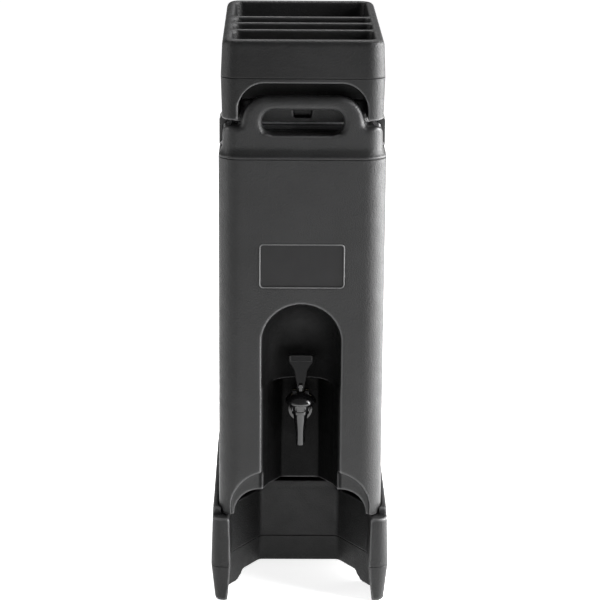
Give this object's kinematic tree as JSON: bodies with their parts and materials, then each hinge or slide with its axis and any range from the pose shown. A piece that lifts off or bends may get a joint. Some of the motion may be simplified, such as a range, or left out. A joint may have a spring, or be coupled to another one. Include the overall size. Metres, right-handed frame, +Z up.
{
  "type": "insulated beverage dispenser with riser and condiment holder",
  "caption": "Tall black insulated drink dispenser with a recessed lever faucet, standing on a raised base and carrying an open compartmented condiment holder.",
  "frame": {"origin": "on the floor under the centre of the riser's plan", "axes": "+Z up, -Y towards the front with the faucet, +X to the right seen from the front"},
  "size_m": [0.254, 0.438, 0.809],
  "materials": {
    "riser_plastic": "black rotomoulded polyethylene, fine pebble grain",
    "shell_plastic": "black rotomoulded polyethylene, fine pebble grain",
    "holder_plastic": "black rotomoulded polyethylene, fine pebble grain",
    "liner_plastic": "smooth satin polyethylene",
    "latch_plastic": "black moulded nylon, satin",
    "label": "blank dark panel, smooth satin",
    "faucet_plastic": "black gloss moulding",
    "silicone": "grey silicone, matt",
    "rubber": "black rubber, matt",
    "steel": "stainless, brushed",
    "foam": "rigid polyurethane foam"
  },
  "bodies": {
    "riser": {"riser": "riser_plastic"},
    "dispenser": {"outer_shell": "shell_plastic", "inner_tank": "liner_plastic", "foam_core": "foam", "label_plate": "label", "faucet_body": "faucet_plastic", "faucet_bonnet": "faucet_plastic", "faucet_washer": "rubber", "tank_washer": "rubber", "faucet_nut": "faucet_plastic", "shank_sleeve": "liner_plastic", "latch_brackets": "steel", "latch_pins": "steel", "latch_screws": "steel"},
    "faucet_stem": {"faucet_stem": "faucet_plastic", "lever_pin": "steel", "seat_cup": "silicone", "seat_bellows": "silicone"},
    "faucet_lever": {"faucet_lever": "faucet_plastic"},
    "lid": {"lid_shell": "shell_plastic", "lid_liner": "liner_plastic", "lid_foam": "foam", "lid_gasket": "silicone", "vent_tube": "liner_plastic", "latch_keepers": "shell_plastic"},
    "vent_cap": {"vent_cap": "faucet_plastic"},
    "condiment_holder": {"condiment_holder": "holder_plastic"},
    "latch_front_left": {"latch_front_left": "latch_plastic"},
    "latch_front_right": {"latch_front_right": "latch_plastic"},
    "latch_rear_left": {"latch_rear_left": "latch_plastic"},
    "latch_rear_right": {"latch_rear_right": "latch_plastic"}
  },
  "joints": [
    {"name": "dispenser_lift", "type": "slide", "parent": "riser", "child": "dispenser", "axis": [0, 0, 1], "range_m": [0, 0.04]},
    {"name": "lid_lift", "type": "slide", "parent": "dispenser", "child": "lid", "axis": [0, 0, 1], "range_m": [0, 0.06]},
    {"name": "holder_lift", "type": "slide", "parent": "lid", "child": "condiment_holder", "axis": [0, 0, 1], "range_m": [0, 0.06]},
    {"name": "vent_turn", "type": "hinge", "parent": "lid", "child": "vent_cap", "pos_m": [0, 0.04, 0.711], "axis": [0, 0, 1], "range_deg": [0, 90]},
    {"name": "lever_tilt", "type": "hinge", "parent": "faucet_stem", "child": "faucet_lever", "pos_m": [0, -0.177, 0.3105], "axis": [1, 0, 0], "range_deg": [0, 35], "stiffness_Nm_per_rad": 0.35, "springref_deg": -8.59},
    {"name": "stem_rise", "type": "slide", "parent": "dispenser", "child": "faucet_stem", "axis": [0, 0, 1], "range_m": [0, 0.005], "deforming": ["seat_bellows"]},
    {"name": "latch_front_left_swing", "type": "hinge", "parent": "dispenser", "child": "latch_front_left", "pos_m": [-0.1103, -0.121, 0.6566], "axis": [0, -1, 0], "range_deg": [0, 95]},
    {"name": "latch_front_right_swing", "type": "hinge", "parent": "dispenser", "child": "latch_front_right", "pos_m": [0.1103, -0.121, 0.6566], "axis": [0, 1, 0], "range_deg": [0, 95]},
    {"name": "latch_rear_left_swing", "type": "hinge", "parent": "dispenser", "child": "latch_rear_left", "pos_m": [-0.1103, 0.121, 0.6566], "axis": [0, -1, 0], "range_deg": [0, 95]},
    {"name": "latch_rear_right_swing", "type": "hinge", "parent": "dispenser", "child": "latch_rear_right", "pos_m": [0.1103, 0.121, 0.6566], "axis": [0, 1, 0], "range_deg": [0, 95]}
  ],
  "couplings": [
    {"joint": "latch_front_left_swing", "follows": "lid_lift", "rad_per_m": 27.6},
    {"joint": "latch_front_right_swing", "follows": "lid_lift", "rad_per_m": 27.6},
    {"joint": "latch_rear_left_swing", "follows": "lid_lift", "rad_per_m": 27.6},
    {"joint": "latch_rear_right_swing", "follows": "lid_lift", "rad_per_m": 27.6},
    {"joint": "lever_tilt", "follows": "stem_rise", "rad_per_m": 122.2}
  ]
}
